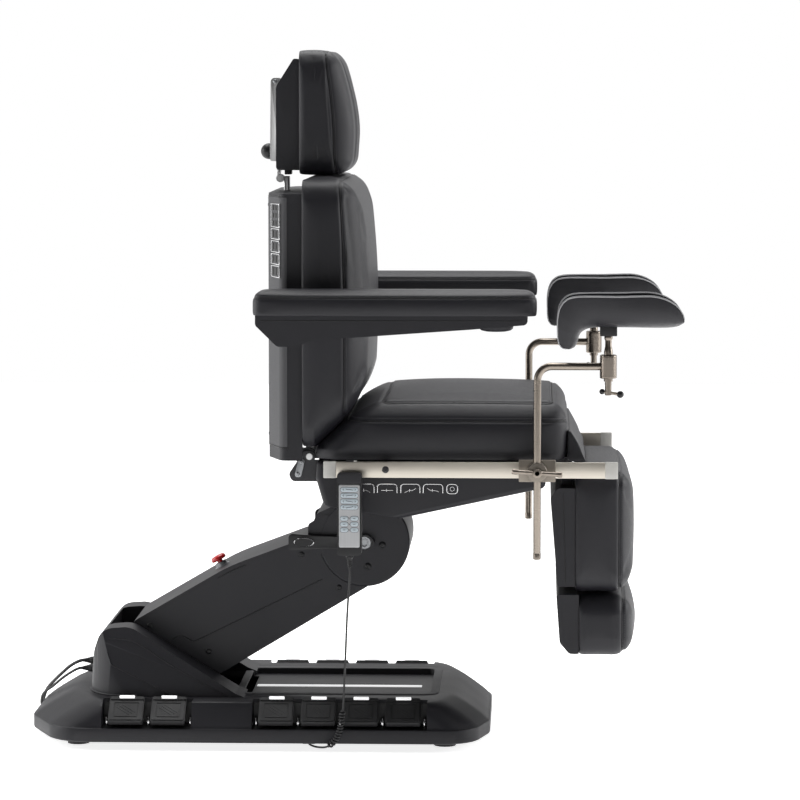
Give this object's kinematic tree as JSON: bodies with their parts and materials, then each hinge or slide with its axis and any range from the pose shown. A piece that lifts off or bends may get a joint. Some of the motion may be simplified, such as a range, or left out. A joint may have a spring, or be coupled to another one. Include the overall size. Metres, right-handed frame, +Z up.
{
  "type": "examination table",
  "caption": "Electric examination chair-table on a floor base: lifting arm, reclining back, hanging leg rest, headrest, armrests, leg crutches on side rails, foot pedals and wired handset.",
  "frame": {"origin": "floor level, centre of the part's box without its cords", "axes": "+X from the back rest towards the foot end, +Y to the far side, away from the handset, +Z up"},
  "size_m": [1.437, 0.8756, 1.4992],
  "materials": {
    "vinyl": "charcoal upholstery vinyl with fine grain, satin",
    "shell_plastic": "dark grey moulded plastic with fine texture",
    "frame_paint": "dark powder-coated steel",
    "rail_steel": "warm brushed stainless steel",
    "nickel": "satin nickel-plated steel",
    "chrome": "polished chrome",
    "pedal_rubber": "black ribbed rubber",
    "stop_red": "glossy red plastic",
    "cord_pvc": "black flexible cord jacket"
  },
  "bodies": {
    "base": {"base_frame": "frame_paint", "base_cover": "shell_plastic", "pivot_cowl": "shell_plastic", "lower_pivot_pin": "rail_steel", "handset_cord": "cord_pvc", "mains_lead": "cord_pvc", "mains_coil": "cord_pvc", "mains_plug": "cord_pvc", "rear_jumper": "cord_pvc"},
    "arm": {"lift_arm": "frame_paint", "arm_cover": "shell_plastic"},
    "stop": {"estop_button": "stop_red"},
    "knuckle": {"knuckle_housing": "shell_plastic", "upper_pivot_pin": "chrome"},
    "lever": {"lock_lever": "shell_plastic"},
    "seat": {"seat_frame": "frame_paint", "seat_shell": "shell_plastic", "seat_cushion": "vinyl", "side_rail_near": "rail_steel", "side_rail_far": "rail_steel", "back_hinge_pin": "rail_steel", "handset": "shell_plastic"},
    "back": {"back_frame": "frame_paint", "back_shell": "shell_plastic", "back_cushion": "vinyl"},
    "post": {"head_post": "rail_steel"},
    "head": {"head_plate": "rail_steel", "head_shell": "shell_plastic", "head_cushion": "vinyl"},
    "knob": {"head_knob": "pedal_rubber"},
    "leg": {"leg_shell": "shell_plastic", "leg_cushion": "vinyl"},
    "foot": {"foot_shell": "shell_plastic", "foot_cushion": "vinyl"},
    "pedal_near_1": {"pedal_near_1": "pedal_rubber"},
    "pedal_near_2": {"pedal_near_2": "pedal_rubber"},
    "pedal_near_3": {"pedal_near_3": "pedal_rubber"},
    "pedal_near_4": {"pedal_near_4": "pedal_rubber"},
    "pedal_near_5": {"pedal_near_5": "pedal_rubber"},
    "pedal_near_6": {"pedal_near_6": "pedal_rubber"},
    "pedal_far_1": {"pedal_far_1": "pedal_rubber"},
    "pedal_far_2": {"pedal_far_2": "pedal_rubber"},
    "pedal_far_3": {"pedal_far_3": "pedal_rubber"},
    "pedal_far_4": {"pedal_far_4": "pedal_rubber"},
    "pedal_far_5": {"pedal_far_5": "pedal_rubber"},
    "pedal_far_6": {"pedal_far_6": "pedal_rubber"},
    "armrest_near": {"armrest_pad_near": "vinyl", "armrest_shell_near": "shell_plastic"},
    "armrest_far": {"armrest_pad_far": "vinyl", "armrest_shell_far": "shell_plastic"},
    "clamp_near": {"rail_clamp_near": "nickel"},
    "screw_near": {"clamp_screw_near": "nickel"},
    "rod_near": {"crutch_rod_near": "nickel"},
    "stem_near": {"crutch_stem_near": "nickel"},
    "cup_near": {"leg_cup_near": "vinyl"},
    "clamp_far": {"rail_clamp_far": "nickel"},
    "screw_far": {"clamp_screw_far": "nickel"},
    "rod_far": {"crutch_rod_far": "nickel"},
    "stem_far": {"crutch_stem_far": "nickel"},
    "cup_far": {"leg_cup_far": "vinyl"}
  },
  "joints": [
    {"name": "lift", "type": "hinge", "parent": "base", "child": "arm", "pos_m": [-0.4109, 0, 0.1905], "axis": [0, -1, 0], "range_deg": [-12, 18], "deforming": ["handset_cord"]},
    {"name": "level", "type": "hinge", "parent": "arm", "child": "knuckle", "pos_m": [0.02386, 0, 0.4305], "axis": [0, -1, 0], "range_deg": [-18, 12], "deforming": ["handset_cord"]},
    {"name": "emergency_stop", "type": "slide", "parent": "arm", "child": "stop", "axis": [0.4833, 0, -0.8755], "range_m": [0, 0.004], "stiffness_N_per_m": 900, "springref_m": -0.004},
    {"name": "lock_lever", "type": "hinge", "parent": "knuckle", "child": "lever", "pos_m": [0.02386, 0, 0.4305], "axis": [0, 1, 0], "range_deg": [0, 18]},
    {"name": "seat_tilt", "type": "hinge", "parent": "knuckle", "child": "seat", "pos_m": [0.02386, 0, 0.539], "axis": [0, -1, 0], "range_deg": [0, 12], "deforming": ["handset_cord"]},
    {"name": "back_recline", "type": "hinge", "parent": "seat", "child": "back", "pos_m": [-0.08964, 0, 0.6292], "axis": [0, -1, 0], "range_deg": [0, 78]},
    {"name": "head_height", "type": "slide", "parent": "back", "child": "post", "axis": [0, 0, 1], "range_m": [0, 0.08]},
    {"name": "head_tilt", "type": "hinge", "parent": "post", "child": "head", "pos_m": [-0.16714, 0, 1.2202], "axis": [0, -1, 0], "range_deg": [0, 35]},
    {"name": "head_knob", "type": "hinge", "parent": "head", "child": "knob", "pos_m": [-0.175, 0, 1.2792], "axis": [1, 0, 0], "continuous": true},
    {"name": "leg_raise", "type": "hinge", "parent": "seat", "child": "leg", "pos_m": [0.46386, 0, 0.616], "axis": [0, -1, 0], "range_deg": [0, 90]},
    {"name": "foot_reach", "type": "slide", "parent": "leg", "child": "foot", "axis": [0, 0, -1], "range_m": [0, 0.08]},
    {"name": "pedal_near_1", "type": "hinge", "parent": "base", "child": "pedal_near_1", "pos_m": [-0.4839, -0.248, 0.1005], "axis": [1, 0, 0], "range_deg": [0, 6], "stiffness_Nm_per_rad": 3, "springref_deg": -8.59},
    {"name": "pedal_near_2", "type": "hinge", "parent": "base", "child": "pedal_near_2", "pos_m": [-0.3927, -0.248, 0.1005], "axis": [1, 0, 0], "range_deg": [0, 6], "stiffness_Nm_per_rad": 3, "springref_deg": -8.59},
    {"name": "pedal_near_3", "type": "hinge", "parent": "base", "child": "pedal_near_3", "pos_m": [-0.1599, -0.248, 0.1005], "axis": [1, 0, 0], "range_deg": [0, 6], "stiffness_Nm_per_rad": 3, "springref_deg": -8.59},
    {"name": "pedal_near_4", "type": "hinge", "parent": "base", "child": "pedal_near_4", "pos_m": [-0.0687, -0.248, 0.1005], "axis": [1, 0, 0], "range_deg": [0, 6], "stiffness_Nm_per_rad": 3, "springref_deg": -8.59},
    {"name": "pedal_near_5", "type": "hinge", "parent": "base", "child": "pedal_near_5", "pos_m": [0.0225, -0.248, 0.1005], "axis": [1, 0, 0], "range_deg": [0, 6], "stiffness_Nm_per_rad": 3, "springref_deg": -8.59},
    {"name": "pedal_near_6", "type": "hinge", "parent": "base", "child": "pedal_near_6", "pos_m": [0.1137, -0.248, 0.1005], "axis": [1, 0, 0], "range_deg": [0, 6], "stiffness_Nm_per_rad": 3, "springref_deg": -8.59},
    {"name": "pedal_far_1", "type": "hinge", "parent": "base", "child": "pedal_far_1", "pos_m": [-0.4839, 0.248, 0.1005], "axis": [-1, 0, 0], "range_deg": [0, 6], "stiffness_Nm_per_rad": 3, "springref_deg": -8.59},
    {"name": "pedal_far_2", "type": "hinge", "parent": "base", "child": "pedal_far_2", "pos_m": [-0.3927, 0.248, 0.1005], "axis": [-1, 0, 0], "range_deg": [0, 6], "stiffness_Nm_per_rad": 3, "springref_deg": -8.59},
    {"name": "pedal_far_3", "type": "hinge", "parent": "base", "child": "pedal_far_3", "pos_m": [-0.1599, 0.248, 0.1005], "axis": [-1, 0, 0], "range_deg": [0, 6], "stiffness_Nm_per_rad": 3, "springref_deg": -8.59},
    {"name": "pedal_far_4", "type": "hinge", "parent": "base", "child": "pedal_far_4", "pos_m": [-0.0687, 0.248, 0.1005], "axis": [-1, 0, 0], "range_deg": [0, 6], "stiffness_Nm_per_rad": 3, "springref_deg": -8.59},
    {"name": "pedal_far_5", "type": "hinge", "parent": "base", "child": "pedal_far_5", "pos_m": [0.0225, 0.248, 0.1005], "axis": [-1, 0, 0], "range_deg": [0, 6], "stiffness_Nm_per_rad": 3, "springref_deg": -8.59},
    {"name": "pedal_far_6", "type": "hinge", "parent": "base", "child": "pedal_far_6", "pos_m": [0.1137, 0.248, 0.1005], "axis": [-1, 0, 0], "range_deg": [0, 6], "stiffness_Nm_per_rad": 3, "springref_deg": -8.59},
    {"name": "armrest_near", "type": "hinge", "parent": "back", "child": "armrest_near", "pos_m": [-0.12114, -0.29, 0.9247], "axis": [0, -1, 0], "range_deg": [-78, 0]},
    {"name": "armrest_far", "type": "hinge", "parent": "back", "child": "armrest_far", "pos_m": [-0.12114, 0.29, 0.9247], "axis": [0, -1, 0], "range_deg": [-78, 0]},
    {"name": "crutch_slide_near", "type": "slide", "parent": "seat", "child": "clamp_near", "axis": [1, 0, 0], "range_m": [-0.01, 0.1]},
    {"name": "clamp_screw_near", "type": "hinge", "parent": "clamp_near", "child": "screw_near", "pos_m": [0.39986, -0.37, 0.6107], "axis": [0, 1, 0], "continuous": true},
    {"name": "crutch_height_near", "type": "slide", "parent": "clamp_near", "child": "rod_near", "axis": [0, 0, 1], "range_m": [-0.1, 0.1]},
    {"name": "crutch_swivel_near", "type": "hinge", "parent": "rod_near", "child": "stem_near", "pos_m": [0.54886, -0.3578, 0.8347], "axis": [0, 0, 1], "range_deg": [-15, 15]},
    {"name": "cup_tilt_near", "type": "hinge", "parent": "stem_near", "child": "cup_near", "pos_m": [0.54886, -0.3578, 0.8957], "axis": [0, 1, 0], "range_deg": [-15, 15]},
    {"name": "crutch_slide_far", "type": "slide", "parent": "seat", "child": "clamp_far", "axis": [1, 0, 0], "range_m": [0, 0.1]},
    {"name": "clamp_screw_far", "type": "hinge", "parent": "clamp_far", "child": "screw_far", "pos_m": [0.37986, 0.37, 0.6107], "axis": [0, -1, 0], "continuous": true},
    {"name": "crutch_height_far", "type": "slide", "parent": "clamp_far", "child": "rod_far", "axis": [0, 0, 1], "range_m": [-0.1, 0.1]},
    {"name": "crutch_swivel_far", "type": "hinge", "parent": "rod_far", "child": "stem_far", "pos_m": [0.52886, 0.3578, 0.8347], "axis": [0, 0, 1], "range_deg": [-15, 15]},
    {"name": "cup_tilt_far", "type": "hinge", "parent": "stem_far", "child": "cup_far", "pos_m": [0.52886, 0.3578, 0.8957], "axis": [0, 1, 0], "range_deg": [-15, 15]}
  ],
  "couplings": [
    {"joint": "level", "follows": "lift", "ratio": -1},
    {"joint": "armrest_near", "follows": "back_recline", "ratio": -1},
    {"joint": "armrest_far", "follows": "back_recline", "ratio": -1}
  ]
}
